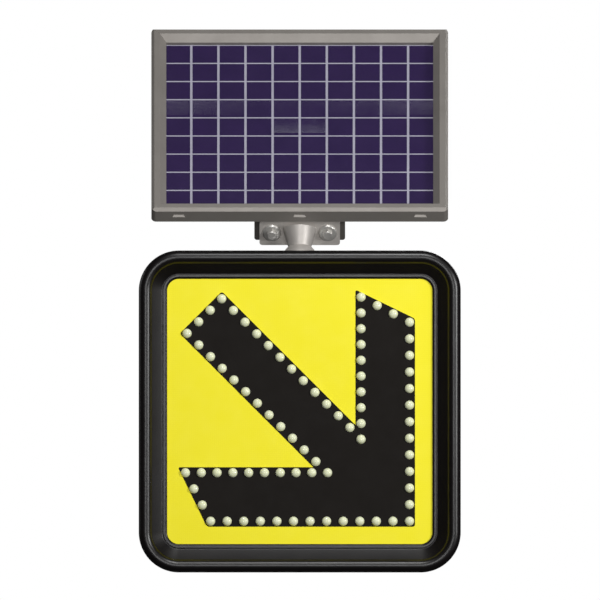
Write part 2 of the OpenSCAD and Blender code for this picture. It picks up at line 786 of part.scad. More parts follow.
module panel_rails() color([0.68, 0.68, 0.7]) in_row() difference() {
    at_panel() for (side = [-1, 1])
        translate([side * rail_x, rail_end, -panel_t - rail_d / 2]) rotate([-90, 0, 0])
            linear_extrude(panel_h - 2 * rail_end) difference() {
                square([rail_w, rail_d], center = true);
                square([rail_w - 2 * rail_wall, rail_d - 2 * rail_wall], center = true);
            }
    at_bracket_bolts() translate([0, 0, -5]) cylinder(r = 4.3, h = 5 + leaf_t + rail_wall + 4);
    at_rail_bolts() translate([0, 0, -rail_wall - 4]) cylinder(r = 3.3, h = 8);
    translate([-100, ball_y - 40, rail_low_z - 30]) cube([200, 50, 30]);
}

module at_rail_bolts() at_panel() for (side = [-1, 1], v = [rail_end + 8, panel_h - rail_end - 8])
    translate([side * rail_x, v, -panel_t]) children();

module rail_bolts() color([0.75, 0.75, 0.77]) in_row() at_rail_bolts()
    translate([0, 0, 2.6]) mirror([0, 0, 1]) bolt(3, 13, 5.7, 3.2, 2.6 + rail_wall + 0.2);

module frame_section() difference() {
    polygon([
        [0, -frame_chamfer], [frame_chamfer, 0], [frame_flat_end, 0], [frame_inner, -frame_bevel],
        [frame_inner, -glass_depth], [glass_inset - 1, -glass_depth], [glass_inset - 1, -slot_bottom],
        [frame_inner, -slot_bottom], [frame_inner, -slot_bottom - 1.8],
        [frame_skirt, -slot_bottom - 1.8], [frame_skirt, -panel_t + 2.5],
        [frame_inner, -panel_t + 2.5], [frame_inner, -panel_t], [0, -panel_t]
    ]);
    translate([4.5, -15]) square([10, 11]);
}

// The part of the panel's plan that belongs to one mitred side, with rounded outer corners
module mitre_plan(along, across) intersection() {
    translate([0, across / 2]) rounded_rect(along, across, frame_corner);
    polygon([[-along / 2, 0], [along / 2, 0], [along / 2 - 60, 60], [60 - along / 2, 60]]);
}

module frame_side(along, across) intersection() {
    translate([-along / 2, 0, 0]) rotate([90, 0, 90]) linear_extrude(along) frame_section();
    translate([0, 0, -panel_t - cut]) linear_extrude(panel_t + 2 * cut) mitre_plan(along, across);
}

module drain_notches() for (x = drain_xs) {
    translate([x, 0, panel_z - 14.1]) slab(0, panel_y + 14.1)
        polygon([[-12, -4], [12, -4], [12, 0], [9.5, 5], [-9.5, 5], [-12, 0]]);
}

module at_mid_panel() at_panel() translate([0, panel_h / 2, 0]) children();

module frame_rail_bottom() color([0.47, 0.45, 0.43]) in_row() difference() {
    at_panel() frame_side(panel_w, panel_h);
    drain_notches();
    at_rail_bolts() translate([0, 0, -cut]) cylinder(r = 3.3, h = 5);
}

module frame_rail_top() color([0.47, 0.45, 0.43]) in_row() difference() {
    at_mid_panel() rotate(180) translate([0, -panel_h / 2, 0]) frame_side(panel_w, panel_h);
    at_rail_bolts() translate([0, 0, -cut]) cylinder(r = 3.3, h = 5);
}

module frame_rail_left() color([0.47, 0.45, 0.43]) in_row()
    at_mid_panel() rotate(-90) translate([0, -panel_w / 2, 0]) frame_side(panel_h, panel_w);

module frame_rail_right() color([0.47, 0.45, 0.43]) in_row()
    at_mid_panel() rotate(90) translate([0, -panel_w / 2, 0]) frame_side(panel_h, panel_w);

module corner_keys() color([0.7, 0.7, 0.7]) in_row() at_mid_panel() for (x = [0, 1], y = [0, 1])
    mirror([x, 0, 0]) mirror([0, y, 0]) translate([-panel_w / 2 + 4.8, -panel_h / 2 + 4.8, -14.6]) {
        cube([key_leg, key_w, 10.2]);
        cube([key_w, key_leg, 10.2]);
    }

module laminate(top, thickness)
    at_mid_panel() translate([0, 0, -top - thickness]) linear_extrude(thickness)
        square([panel_w - 2 * glass_inset, panel_h - 2 * glass_inset], center = true);

module panel_glass() color([0.6, 0.7, 0.85, 0.4]) in_row() laminate(laminate_top, glass_t);

module solar_cells() color([0.17, 0.12, 0.3]) in_row() at_mid_panel() {
    pitch_x = (cell_area_w + cell_gap_x) / cell_columns;
    pitch_y = (cell_area_h + cell_gap_y) / cell_rows;
    translate([0, 0, -laminate_top - glass_t - cell_t]) linear_extrude(cell_t)
        for (i = [0:cell_columns - 1], j = [0:cell_rows - 1])
            translate([(i - (cell_columns - 1) / 2) * pitch_x, (j - (cell_rows - 1) / 2) * pitch_y])
                square([pitch_x - cell_gap_x, pitch_y - cell_gap_y], center = true);
}

module backsheet() color([0.62, 0.61, 0.68]) in_row()
    laminate(laminate_top + glass_t + cell_t, backsheet_t);

module at_box() at_panel() translate([0, box_v, -box_top]) children();

module junction_box() color([0.08, 0.08, 0.09]) in_row() at_box() {
    difference() {
        translate([0, 0, -box_deep]) linear_extrude(box_deep) rounded_rect(74, 94, 6);
        translate([0, 0, -box_deep - cut]) linear_extrude(box_deep - 2) rounded_rect(68, 88, 4);
    }
    for (side = [-1, 1]) translate([side * 20, -47, -box_deep / 2]) rotate([90, 0, 0]) {
        cylinder(r = 7, h = 5, $fn = hex);
        translate([0, 0, 5]) cylinder(r1 = 6, r2 = 4.5, h = 9);
    }
}

module junction_lid() color([0.1, 0.1, 0.11]) in_row() at_box()
    translate([0, 0, -box_deep - 3]) linear_extrude(3) rounded_rect(76, 96, 7);

front_bezel();
bezel_gasket();
yellow_sheeting();
arrow_film();
face_panel();
face_spacer();
led_lenses();
lens_retainers();
led_emitters();
led_board();
board_standoffs();
rear_housing();
housing_gasket();
housing_screws();
battery_shelf();
battery();
battery_terminals();
battery_strap();
charge_controller();
controller_terminals();
cable_loom();
cable_gland();
vent_plug();
mounting_channel();
channel_bolts();
clamp_saddles();
saddle_bolts();
clamp_caps();
clamp_bolts();
swivel_base();
swivel_base_bolts();
clamp_ring();
ring_screws();
hinge_leaf_housing();
hinge_pins();
door_gasket();
switch_body();
seat_lower();
seat_upper();
swivel_arm();
arm_bolts();
panel_bracket();
bracket_bolts();
panel_rails();
rail_bolts();
frame_rail_bottom();
frame_rail_top();
frame_rail_left();
frame_rail_right();
corner_keys();
panel_glass();
solar_cells();
backsheet();
junction_box();
junction_lid();
service_door();
hinge_leaf_door();
lock_body();
lock_cam();
power_rocker();
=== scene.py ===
# %% [markdown]
# # Solar-powered LED arrow sign
# The sign is a black moulded cabinet with a yellow face, an arrow of black film edged with lamp
# domes, and a solar panel on a ball swivel. The frame holds every piece at its real size and place.
# This file gives each piece its finished shape and its surface.

# %% Load the frame
import json
import math

import bmesh
import bpy
from mathutils import Matrix, Vector


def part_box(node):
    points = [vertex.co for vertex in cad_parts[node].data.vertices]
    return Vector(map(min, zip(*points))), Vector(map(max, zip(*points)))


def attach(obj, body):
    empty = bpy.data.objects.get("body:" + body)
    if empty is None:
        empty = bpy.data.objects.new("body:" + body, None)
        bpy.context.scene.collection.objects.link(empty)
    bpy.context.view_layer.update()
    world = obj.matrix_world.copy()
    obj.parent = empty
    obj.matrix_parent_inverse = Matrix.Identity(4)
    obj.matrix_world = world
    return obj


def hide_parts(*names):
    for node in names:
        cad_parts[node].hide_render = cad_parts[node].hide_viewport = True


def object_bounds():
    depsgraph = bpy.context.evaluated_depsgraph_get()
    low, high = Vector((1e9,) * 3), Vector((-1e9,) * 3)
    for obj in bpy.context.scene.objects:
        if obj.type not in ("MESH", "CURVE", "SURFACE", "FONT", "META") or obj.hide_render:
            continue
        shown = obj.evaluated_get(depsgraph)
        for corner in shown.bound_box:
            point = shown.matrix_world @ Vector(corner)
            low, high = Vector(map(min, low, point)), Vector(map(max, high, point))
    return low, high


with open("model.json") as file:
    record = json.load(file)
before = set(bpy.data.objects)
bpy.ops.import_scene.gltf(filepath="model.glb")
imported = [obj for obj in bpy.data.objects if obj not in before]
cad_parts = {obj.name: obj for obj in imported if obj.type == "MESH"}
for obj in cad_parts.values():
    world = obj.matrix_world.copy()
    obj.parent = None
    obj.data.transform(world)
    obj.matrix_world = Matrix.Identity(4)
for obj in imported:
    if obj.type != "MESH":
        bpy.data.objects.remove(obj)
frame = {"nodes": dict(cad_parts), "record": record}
cad_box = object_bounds()
record = frame["record"]
MM = 0.001
node_body = {n: b for b, members in record["behaviour"]["bodies"].items() for n in members}
node_slot = {s["node"]: s["material_slot"] for s in record["subparts"]}

# %% [markdown]
# ## Camera
# A catalogue drawing of a sign has no perspective, so that its sides stay parallel and its sizes can
# be read off. An orthographic camera does the same: its scale is the width of the picture in metres.
# It looks level at a point between the cabinet and the panel, so that both fill the picture.

# %% Camera
FRAME_WIDTH = 1.118
CAMERA_DISTANCE = 4
CAMERA_X = 0.0005
LOOK_ABOVE_CABINET = 0.2077
bezel_low, bezel_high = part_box("front_bezel")
cabinet_middle_z = (bezel_low.z + bezel_high.z) / 2
look_z = cabinet_middle_z + LOOK_ABOVE_CABINET

camera_data = bpy.data.cameras.new("camera")
camera_data.type = "ORTHO"
camera_data.ortho_scale = FRAME_WIDTH
camera_data.clip_start = 0.1
camera_data.clip_end = 50
camera = bpy.data.objects.new("camera", camera_data)
camera.location = (CAMERA_X, bezel_low.y - CAMERA_DISTANCE, look_z)
camera.rotation_euler = (math.radians(90), 0, 0)
bpy.context.scene.collection.objects.link(camera)
bpy.context.scene.camera = camera
print("camera frame", FRAME_WIDTH, "m wide")

# %% [markdown]
# ## Light and floor
# A weak light stands by the camera, and two stronger ones stand at 45 degrees to it, one to the
# right and one above. Together they light what faces the camera evenly, leave what slopes down dark,
# and draw a long highlight on the right and upper flank of the bezel's bead. The upper one casts no
# shadow, so that the panel doesn't darken the swivel below it. Black plastic needs dark surroundings
# to stay black, so the world lights the sign only faintly, although the camera sees it as white, and
# the pale floor is kept out of the sign's reflections. Two broad lights behind the sign and to its
# left keep the back readable.

# %% Light and floor
def area_light(name, place, target, size, watts):
    data = bpy.data.lights.new(name, "AREA")
    data.energy = watts
    data.size = size
    light = bpy.data.objects.new(name, data)
    light.location = place
    light.rotation_euler = (Vector(target) - Vector(place)).to_track_quat("-Z", "Y").to_euler()
    bpy.context.scene.collection.objects.link(light)
    return light


aim = (0, 0, look_z)
area_light("front_light", (0.1, -4.6, look_z + 0.15), aim, 1.2, 48)
area_light("right_light", (3.25, -3.25, look_z + 0.35), aim, 0.8, 103)
top_light = area_light("top_light", (0.45, -3.25, look_z + 3.25), aim, 0.8, 100)
top_light.data.use_shadow = False
area_light("rear_fill", (1.8, 4.2, look_z + 2.2), aim, 2.5, 150)
area_light("left_fill", (-4.0, 1.2, look_z + 1.0), aim, 2.0, 14)

world = bpy.data.worlds.new("studio")
bpy.context.scene.world = world
world.use_nodes = True
tree = world.node_tree
tree.nodes.clear()
out = tree.nodes.new("ShaderNodeOutputWorld")
mix = tree.nodes.new("ShaderNodeMixShader")
rays = tree.nodes.new("ShaderNodeLightPath")
soft = tree.nodes.new("ShaderNodeBackground")
white = tree.nodes.new("ShaderNodeBackground")
for background, strength in ((soft, 0.05), (white, 1.0)):
    background.inputs["Color"].default_value = (1, 1, 1, 1)
    background.inputs["Strength"].default_value = strength
tree.links.new(rays.outputs["Is Camera Ray"], mix.inputs["Fac"])
tree.links.new(soft.outputs[0], mix.inputs[1])
tree.links.new(white.outputs[0], mix.inputs[2])
tree.links.new(mix.outputs[0], out.inputs["Surface"])
bpy.context.scene.view_settings.view_transform = "Standard"

FLOOR_HALF = 6
FLOOR_BELOW = 0.25
floor_mesh = bpy.data.meshes.new("floor")
floor_z = cad_box[0][2] - FLOOR_BELOW
floor_mesh.from_pydata(
    [(x * FLOOR_HALF, y * FLOOR_HALF, floor_z) for x, y in ((-1, -1), (1, -1), (1, 1), (-1, 1))],
    [], [(0, 1, 2, 3)])
floor = bpy.data.objects.new("floor", floor_mesh)
bpy.context.scene.collection.objects.link(floor)
floor_paint = bpy.data.materials.new("floor_paint")
floor_paint.use_nodes = True
floor_shader = floor_paint.node_tree.nodes["Principled BSDF"]
floor_shader.inputs["Base Color"].default_value = (0.8, 0.8, 0.79, 1)
floor_shader.inputs["Roughness"].default_value = 0.9
floor_shader.inputs["Emission Color"].default_value = (1, 1, 0.99, 1)
floor_shader.inputs["Emission Strength"].default_value = 0.55
floor_mesh.materials.append(floor_paint)
floor.visible_diffuse = False
floor.visible_glossy = False
print("floor at", round(floor_z, 3))

# %% [markdown]
# ## How a finish is built
# Every finish here starts from the same small set of nodes: object coordinates, a noise that drifts
# the colour between two close tones, a second noise that varies the gloss, and a fine bump. The
# helpers below add those nodes, so that each finish only states its own numbers.

# %% Helpers for finishes
def new_finish(name):
    material = bpy.data.materials.new(name)
    material.use_nodes = True
    material.node_tree.nodes.new("ShaderNodeTexCoord").name = "coords"
    return material


def node(material, kind, settings=None, **inputs):
    made = material.node_tree.nodes.new(kind)
    for key, value in (settings or {}).items():
        setattr(made, key, value)
    for key, value in inputs.items():
        made.inputs[key.replace("_", " ")].default_value = value
    return made


def link(material, source, target):
    material.node_tree.links.new(source, target)


def shader(material):
    return material.node_tree.nodes["Principled BSDF"]


def place(material, stretch=(1, 1, 1), turn=(0, 0, 0)):
    mapping = node(material, "ShaderNodeMapping")
    mapping.inputs["Scale"].default_value = stretch
    mapping.inputs["Rotation"].default_value = turn
    link(material, material.node_tree.nodes["coords"].outputs["Object"], mapping.inputs["Vector"])
    return mapping.outputs["Vector"]


def noise(material, scale, detail=4.0, rough=0.55, vector=None):
    made = node(material, "ShaderNodeTexNoise", Scale=scale, Detail=detail, Roughness=rough)
    link(material, vector or place(material), made.inputs["Vector"])
    return made.outputs["Fac"]


def spread(material, value, low, high, from_low=0.3, from_high=0.7):
    made = node(material, "ShaderNodeMapRange")
    made.inputs["From Min"].default_value = from_low
    made.inputs["From Max"].default_value = from_high
    made.inputs["To Min"].default_value = low
    made.inputs["To Max"].default_value = high
    link(material, value, made.inputs["Value"])
    return made.outputs["Result"]


def blend_colour(material, amount, first, second):
    """Mixes two colours, each given as three numbers or as another node's output."""
    made = node(material, "ShaderNodeMix", {"data_type": "RGBA"})
    link(material, amount, made.inputs["Factor"])
    for socket, colour in (("A", first), ("B", second)):
        target = [s for s in made.inputs if s.name == socket and s.type == "RGBA"][0]
        if hasattr(colour, "is_linked"):
            link(material, colour, target)
        else:
            target.default_value = (*colour, 1)
    return [s for s in made.outputs if s.type == "RGBA"][0]


def bump(material, height, strength, depth_mm):
    made = node(material, "ShaderNodeBump", Strength=strength, Distance=depth_mm * MM)
    link(material, height, made.inputs["Height"])
    return made.outputs["Normal"]


def mottled(name, dark, light, drift=18, gloss=(0.4, 0.55), grain=900, grain_depth=0.05,
            grain_strength=0.25, metallic=0.0, coat=0.0, level=0.5, wear=None):
    """A surface whose colour, gloss and grain all vary a little, with an optional worn tone."""
    material = new_finish(name)
    colour = blend_colour(material, spread(material, noise(material, drift), 0, 1), dark, light)
    if wear:
        patches = spread(material, noise(material, 65, 8, 0.7), 0, 1, 0.66, 0.78)
        colour = blend_colour(material, patches, colour, wear)
    link(material, colour, shader(material).inputs["Base Color"])
    link(material, spread(material, noise(material, drift * 3, 6), *gloss),
         shader(material).inputs["Roughness"])
    link(material, bump(material, noise(material, grain, 2), grain_strength, grain_depth),
         shader(material).inputs["Normal"])
    shader(material).inputs["Metallic"].default_value = metallic
    shader(material).inputs["Coat Weight"].default_value = coat
    shader(material).inputs["Specular IOR Level"].default_value = level
    return material


finishes = {}

# %% [markdown]
# ## Black plastics and rubber
# The bezel is a semi-gloss moulding: nearly black, with a soft highlight that runs along its bead.
# The rear box is the same resin with a fine spark texture, so it is duller. Seals and fittings are
# duller still. Only the gloss and the grain tell these blacks apart, so both are varied by noise.

# %% Black plastics and rubber
finishes["bezel_plastic"] = mottled(
    "bezel_plastic", (0.0024, 0.0015, 0.0018), (0.0036, 0.0025, 0.0028), drift=9, gloss=(0.32, 0.35),
    grain=1400, grain_depth=0.02, grain_strength=0.12, level=0.42, wear=(0.006, 0.005, 0.005))
finishes["housing_plastic"] = mottled(
    "housing_plastic", (0.016, 0.016, 0.017), (0.026, 0.026, 0.027), drift=11, gloss=(0.5, 0.62),
    grain=1500, grain_depth=0.12, grain_strength=0.5, level=0.45, wear=(0.035, 0.034, 0.033))
finishes["fitting_plastic"] = mottled(
    "fitting_plastic", (0.012, 0.012, 0.013), (0.02, 0.02, 0.021), drift=40, gloss=(0.4, 0.52),
    grain=1800, grain_depth=0.05, grain_strength=0.35)
finishes["seal_rubber"] = mottled(
    "seal_rubber", (0.01, 0.01, 0.01), (0.02, 0.02, 0.02), drift=60, gloss=(0.75, 0.9),
    grain=2200, grain_depth=0.15, grain_strength=0.6, level=0.3)
print("black finishes:", len(finishes))

# %% [markdown]
# ## Yellow sheeting
# Road-sign sheeting is a clear film over thousands of tiny prisms, sealed in a honeycomb of cells a
# few millimetres wide. The cells are a Voronoi pattern: its distance to the nearest cell edge gives
# thin seal lines, which are only a shade deeper than the yellow and barely raised.

# %% Yellow sheeting
sheet = new_finish("yellow_sheet")
cell_edges = node(sheet, "ShaderNodeTexVoronoi", {"feature": "DISTANCE_TO_EDGE"},
                  Scale=260.0, Randomness=0.35)
link(sheet, place(sheet), cell_edges.inputs["Vector"])
seal_line = spread(sheet, cell_edges.outputs["Distance"], 1, 0, 0.03, 0.12)
sheet_tone = blend_colour(sheet, spread(sheet, noise(sheet, 7), 0, 1),
                          (0.94, 0.84, 0.016), (0.96, 0.862, 0.022))
link(sheet, blend_colour(sheet, spread(sheet, seal_line, 0, 0.22, 0, 1), sheet_tone, (0.80, 0.66, 0.01)),
     shader(sheet).inputs["Base Color"])
link(sheet, spread(sheet, noise(sheet, 30), 0.36, 0.46), shader(sheet).inputs["Roughness"])
link(sheet, bump(sheet, seal_line, 0.15, 0.04), shader(sheet).inputs["Normal"])
shader(sheet).inputs["Specular IOR Level"].default_value = 0.15
finishes["yellow_sheet"] = sheet

finishes["black_film"] = mottled(
    "black_film", (0.0075, 0.0058, 0.0046), (0.0088, 0.0069, 0.0056), drift=14, gloss=(0.52, 0.6),
    grain=700, grain_depth=0.02, grain_strength=0.12, level=0.1)
print("face finishes made")

# %% [markdown]
# ## Lamp plastic and resin
# A lamp dome is ivory, lightly diffusing plastic. Light enters it and comes out nearby, which a
# little subsurface scattering gives, and its skin is glossy. The LED behind is clear amber resin.

# %% Lamp plastic and resin
finishes["lens_plastic"] = mottled(
    "lens_plastic", (0.73, 0.76, 0.51), (0.79, 0.82, 0.57), drift=120, gloss=(0.24, 0.34),
    grain=2500, grain_depth=0.01, grain_strength=0.1, coat=0.15)
shader(finishes["lens_plastic"]).inputs["Subsurface Weight"].default_value = 0.15
shader(finishes["lens_plastic"]).inputs["Subsurface Radius"].default_value = (0.004, 0.004, 0.002)
finishes["led_resin"] = mottled(
    "led_resin", (0.85, 0.62, 0.2), (0.95, 0.75, 0.32), drift=200, gloss=(0.08, 0.15),
    grain=2500, grain_depth=0.01, grain_strength=0.05)
print("finishes so far:", len(finishes))

# %% [markdown]
# ## Painted and cast metal
# The panel's frame and the swivel are aluminium under a warm grey finish. Such paint holds metal
# flake, so it falls off faster than chalk as it turns from the light: part metallic, fairly rough.
# The casting also shows the orange-peel of its skin, from a coarser second bump.

# %% Painted and cast metal
finishes["frame_paint"] = mottled(
    "frame_paint", (0.27, 0.25, 0.229), (0.298, 0.277, 0.255), drift=16, gloss=(0.46, 0.53),
    grain=1300, grain_depth=0.03, grain_strength=0.2, metallic=0.36, wear=(0.32, 0.3, 0.277))
finishes["bracket_paint"] = mottled(
    "bracket_paint", (0.068, 0.062, 0.056), (0.085, 0.078, 0.071), drift=22, gloss=(0.5, 0.62),
    grain=900, grain_depth=0.06, grain_strength=0.35, metallic=0.2, wear=(0.12, 0.11, 0.1))


def cast_finish(name, dark, light, metallic, gloss):
    material = mottled(name, dark, light, drift=30, gloss=gloss, grain=1500, grain_depth=0.05,
                       grain_strength=0.3, metallic=metallic, wear=tuple(c * 0.8 for c in dark))
    skin = bump(material, noise(material, 240, 3), 0.3, 0.14)
    fine = [n for n in material.node_tree.nodes if n.type == "BUMP"][0]
    link(material, skin, fine.inputs["Normal"])
    return material


finishes["arm_casting"] = cast_finish(
    "arm_casting", (0.46, 0.432, 0.404), (0.52, 0.49, 0.46), metallic=0.42, gloss=(0.46, 0.54))
finishes["cast_aluminium"] = cast_finish(
    "cast_aluminium", (0.42, 0.42, 0.42), (0.52, 0.52, 0.515), metallic=0.75, gloss=(0.36, 0.5))
print("painted and cast finishes made")

# %% [markdown]
# ## Bare and plated metal
# Extruded aluminium has fine die lines along its length: noise stretched a hundred times along one
# axis. Hot-dip zinc shows spangles, flat crystals of slightly different brightness, which are the
# cells of a Voronoi pattern. Small zinc-plated parts are smooth, with a faint warm cast.

# %% Bare and plated metal
def drawn_metal(name, dark, light, stretch, turn=(0, 0, 0)):
    material = new_finish(name)
    lines = noise(material, 45, 6, 0.6, place(material, stretch, turn))
    link(material, blend_colour(material, spread(material, lines, 0, 1), dark, light),
         shader(material).inputs["Base Color"])
    link(material, spread(material, lines, 0.28, 0.42), shader(material).inputs["Roughness"])
    link(material, bump(material, lines, 0.25, 0.02), shader(material).inputs["Normal"])
    shader(material).inputs["Metallic"].default_value = 0.95
    return material


finishes["rail_aluminium"] = drawn_metal(
    "rail_aluminium", (0.56, 0.56, 0.57), (0.68, 0.68, 0.69), (12, 0.3, 12), (math.radians(-45), 0, 0))
finishes["aluminium_plate"] = drawn_metal(
    "aluminium_plate", (0.6, 0.6, 0.61), (0.72, 0.72, 0.73), (0.3, 12, 12))

galvanised = new_finish("galvanised_steel")
spangle = node(galvanised, "ShaderNodeTexVoronoi", {"feature": "F1"}, Scale=95.0)
link(galvanised, place(galvanised), spangle.inputs["Vector"])
crystal = node(galvanised, "ShaderNodeSeparateColor")
link(galvanised, spangle.outputs["Color"], crystal.inputs["Color"])
link(galvanised, blend_colour(galvanised, crystal.outputs["Red"], (0.38, 0.39, 0.40), (0.55, 0.56, 0.57)),
     shader(galvanised).inputs["Base Color"])
link(galvanised, spread(galvanised, crystal.outputs["Green"], 0.36, 0.56, 0, 1),
     shader(galvanised).inputs["Roughness"])
link(galvanised, bump(galvanised, noise(galvanised, 160, 4), 0.3, 0.05), shader(galvanised).inputs["Normal"])
shader(galvanised).inputs["Metallic"].default_value = 0.9
finishes["galvanised_steel"] = galvanised

finishes["zinc_steel"] = mottled(
    "zinc_steel", (0.48, 0.465, 0.44), (0.58, 0.565, 0.535), drift=70, gloss=(0.26, 0.4),
    grain=1500, grain_depth=0.02, grain_strength=0.15, metallic=0.6, wear=(0.42, 0.40, 0.34))
finishes["brass_parts"] = mottled(
    "brass_parts", (0.58, 0.42, 0.16), (0.7, 0.53, 0.24), drift=90, gloss=(0.22, 0.36),
    grain=1500, grain_depth=0.02, grain_strength=0.15, metallic=0.95)
finishes["lock_metal"] = mottled(
    "lock_metal", (0.6, 0.6, 0.6), (0.72, 0.72, 0.72), drift=80, gloss=(0.12, 0.24),
    grain=1600, grain_depth=0.015, grain_strength=0.1, metallic=1.0)
print("metal finishes made")

# %% [markdown]
# ## Solar laminate
# Under the glass each cell is dark violet-blue silicon, crossed by printed silver fingers too fine
# to see one by one: a wave pattern, only a shade lighter. Every cell also differs a little from its
# neighbours, which slow noise gives. The glass is nearly clear, so it is mostly transparent with a
# soft sheen, rather than a true refracting slab that would shade the cells.

# %% Solar laminate
glass_mesh = frame["nodes"]["panel_glass"].data
panel_normal = max(glass_mesh.polygons, key=lambda p: p.area * (p.normal.y < 0)).normal.copy()
panel_slope = math.atan2(-panel_normal.y, panel_normal.z)

silicon = new_finish("cell_silicon")
flat_coords = place(silicon, (1, 1, 1), (-panel_slope, 0, 0))
fingers = node(silicon, "ShaderNodeTexWave", {"wave_type": "BANDS", "bands_direction": "Y"}, Scale=110.0)
link(silicon, flat_coords, fingers.inputs["Vector"])
tone = blend_colour(silicon, spread(silicon, noise(silicon, 24), 0, 1),
                    (0.0185, 0.0055, 0.057), (0.0235, 0.0078, 0.067))
finger_shade = spread(silicon, fingers.outputs["Fac"], 0, 0.16, 0.7, 1)
link(silicon, blend_colour(silicon, finger_shade, tone, (0.07, 0.055, 0.115)),
     shader(silicon).inputs["Base Color"])
link(silicon, spread(silicon, noise(silicon, 50), 0.5, 0.62), shader(silicon).inputs["Roughness"])
link(silicon, bump(silicon, noise(silicon, 400, 2), 0.1, 0.01), shader(silicon).inputs["Normal"])
shader(silicon).inputs["Specular IOR Level"].default_value = 0.25
finishes["cell_silicon"] = silicon

finishes["backsheet_film"] = mottled(
    "backsheet_film", (0.41, 0.40, 0.49), (0.46, 0.45, 0.54), drift=25, gloss=(0.6, 0.72),
    grain=800, grain_depth=0.03, grain_strength=0.2, level=0.3)

glass = mottled("cell_glass", (0.05, 0.055, 0.07), (0.06, 0.065, 0.08), drift=10, gloss=(0.12, 0.2),
                grain=200, grain_depth=0.002, grain_strength=0.05)
shader(glass).inputs["Alpha"].default_value = 0.05
finishes["cell_glass"] = glass
print("panel slope", round(math.degrees(panel_slope), 2), "degrees")

# %% [markdown]
# ## Inside the cabinet
# These show only when the rear door swings open. The board has a green solder mask with a faint
# trace pattern, the battery strap is a twill of two crossed wave patterns, and the cases are
# moulded plastics.

# %% Inside the cabinet
board = new_finish("circuit_board")
traces = node(board, "ShaderNodeTexBrick", Scale=60.0)
traces.inputs["Mortar Size"].default_value = 0.03
link(board, place(board, (1, 1, 1), (math.radians(90), 0, 0)), traces.inputs["Vector"])
mask_tone = blend_colour(board, spread(board, noise(board, 20), 0, 1),
                         (0.012, 0.07, 0.028), (0.018, 0.09, 0.036))
link(board, blend_colour(board, traces.outputs["Fac"], mask_tone, (0.035, 0.15, 0.06)),
     shader(board).inputs["Base Color"])
link(board, spread(board, noise(board, 60), 0.25, 0.35), shader(board).inputs["Roughness"])
link(board, bump(board, traces.outputs["Fac"], 0.2, 0.03), shader(board).inputs["Normal"])
finishes["circuit_board"] = board

strap = new_finish("strap_webbing")
twill = [node(strap, "ShaderNodeTexWave", {"wave_type": "BANDS", "bands_direction": axis}, Scale=220.0)
         for axis in ("X", "Z")]
for wave in twill:
    link(strap, place(strap), wave.inputs["Vector"])
weave = node(strap, "ShaderNodeMath", {"operation": "MAXIMUM"})
for wave, socket in zip(twill, weave.inputs):
    link(strap, wave.outputs["Fac"], socket)
link(strap, blend_colour(strap, weave.outputs[0], (0.008, 0.008, 0.01), (0.035, 0.035, 0.04)),
     shader(strap).inputs["Base Color"])
link(strap, spread(strap, noise(strap, 80), 0.7, 0.85), shader(strap).inputs["Roughness"])
link(strap, bump(strap, weave.outputs[0], 0.6, 0.2), shader(strap).inputs["Normal"])
finishes["strap_webbing"] = strap

for slot_name, dark, light, gloss in (
        ("battery_case", (0.045, 0.048, 0.055), (0.06, 0.064, 0.072), (0.4, 0.52)),
        ("controller_case", (0.025, 0.07, 0.19), (0.035, 0.09, 0.23), (0.35, 0.48)),
        ("terminal_plastic", (0.03, 0.22, 0.07), (0.045, 0.28, 0.1), (0.3, 0.4)),
        ("wire_red", (0.38, 0.02, 0.014), (0.48, 0.03, 0.02), (0.35, 0.5)),
        ("nylon_seat", (0.68, 0.67, 0.62), (0.76, 0.75, 0.7), (0.35, 0.48)),
        ("rocker_red", (0.42, 0.012, 0.01), (0.5, 0.02, 0.016), (0.22, 0.32))):
    finishes[slot_name] = mottled(slot_name, dark, light, drift=45, gloss=gloss, grain=1500,
                                  grain_depth=0.04, grain_strength=0.3)
missing = sorted(set(node_slot.values()) - set(finishes))
print("finishes:", len(finishes), "missing:", missing)

# %% [markdown]
# ## How a piece is finished
# The frame's meshes are loose triangles with knife-sharp corners, and a real edge always catches a
# little light. So each piece gets a copy whose triangles are merged into whole faces, with every
# corner rounded by a small bevel and every curve shaded smooth. The copy stands for its node.

# %% Helpers for pieces
MERGE_DISTANCE = 0.004 * MM
SHARP_DEGREES = 32


def new_piece(name, mesh, body, slot_name, *replaced):
    """Links a finished mesh, gives it its surface, and ties it to its body."""
    piece = bpy.data.objects.new(name, mesh)
    bpy.context.scene.collection.objects.link(piece)
    mesh.materials.clear()
    mesh.materials.append(finishes[slot_name])
    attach(piece, body)
    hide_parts(*replaced)
    return piece


def smooth(mesh, sharp_degrees=SHARP_DEGREES):
    """Shades a mesh smooth, except across edges that turn more than this."""
    mesh.shade_smooth()
    mesh.set_sharp_from_angle(angle=math.radians(sharp_degrees))


def merged_copy(node_name):
    """The node's mesh as whole faces: doubles merged, and triangles of one plane joined."""
    work = bmesh.new()
    work.from_mesh(frame["nodes"][node_name].data)
    bmesh.ops.remove_doubles(work, verts=work.verts, dist=MERGE_DISTANCE)
    bmesh.ops.dissolve_limit(work, angle_limit=math.radians(0.4), verts=work.verts, edges=work.edges)
    points = [v.co.copy() for v in work.verts]
    work.verts.index_update()
    faces = [[v.index for v in f.verts] for f in work.faces]
    work.free()
    mesh = bpy.data.meshes.new(node_name + "_finished")
    mesh.from_pydata(points, [], faces)
    return mesh


def finished(node_name, edge_mm, segments):
    """A merged copy with rounded corners, which replaces its node."""
    mesh = merged_copy(node_name)
    smooth(mesh)
    piece = new_piece(node_name + "_finished", mesh, node_body[node_name], node_slot[node_name], node_name)
    if edge_mm:
        bevel = piece.modifiers.new("edges", "BEVEL")
        bevel.width = edge_mm * MM
        bevel.segments = segments
        bevel.limit_method = "ANGLE"
        bevel.angle_limit = math.radians(38)
        bevel.harden_normals = True
        bevel.use_clamp_overlap = True
    return piece


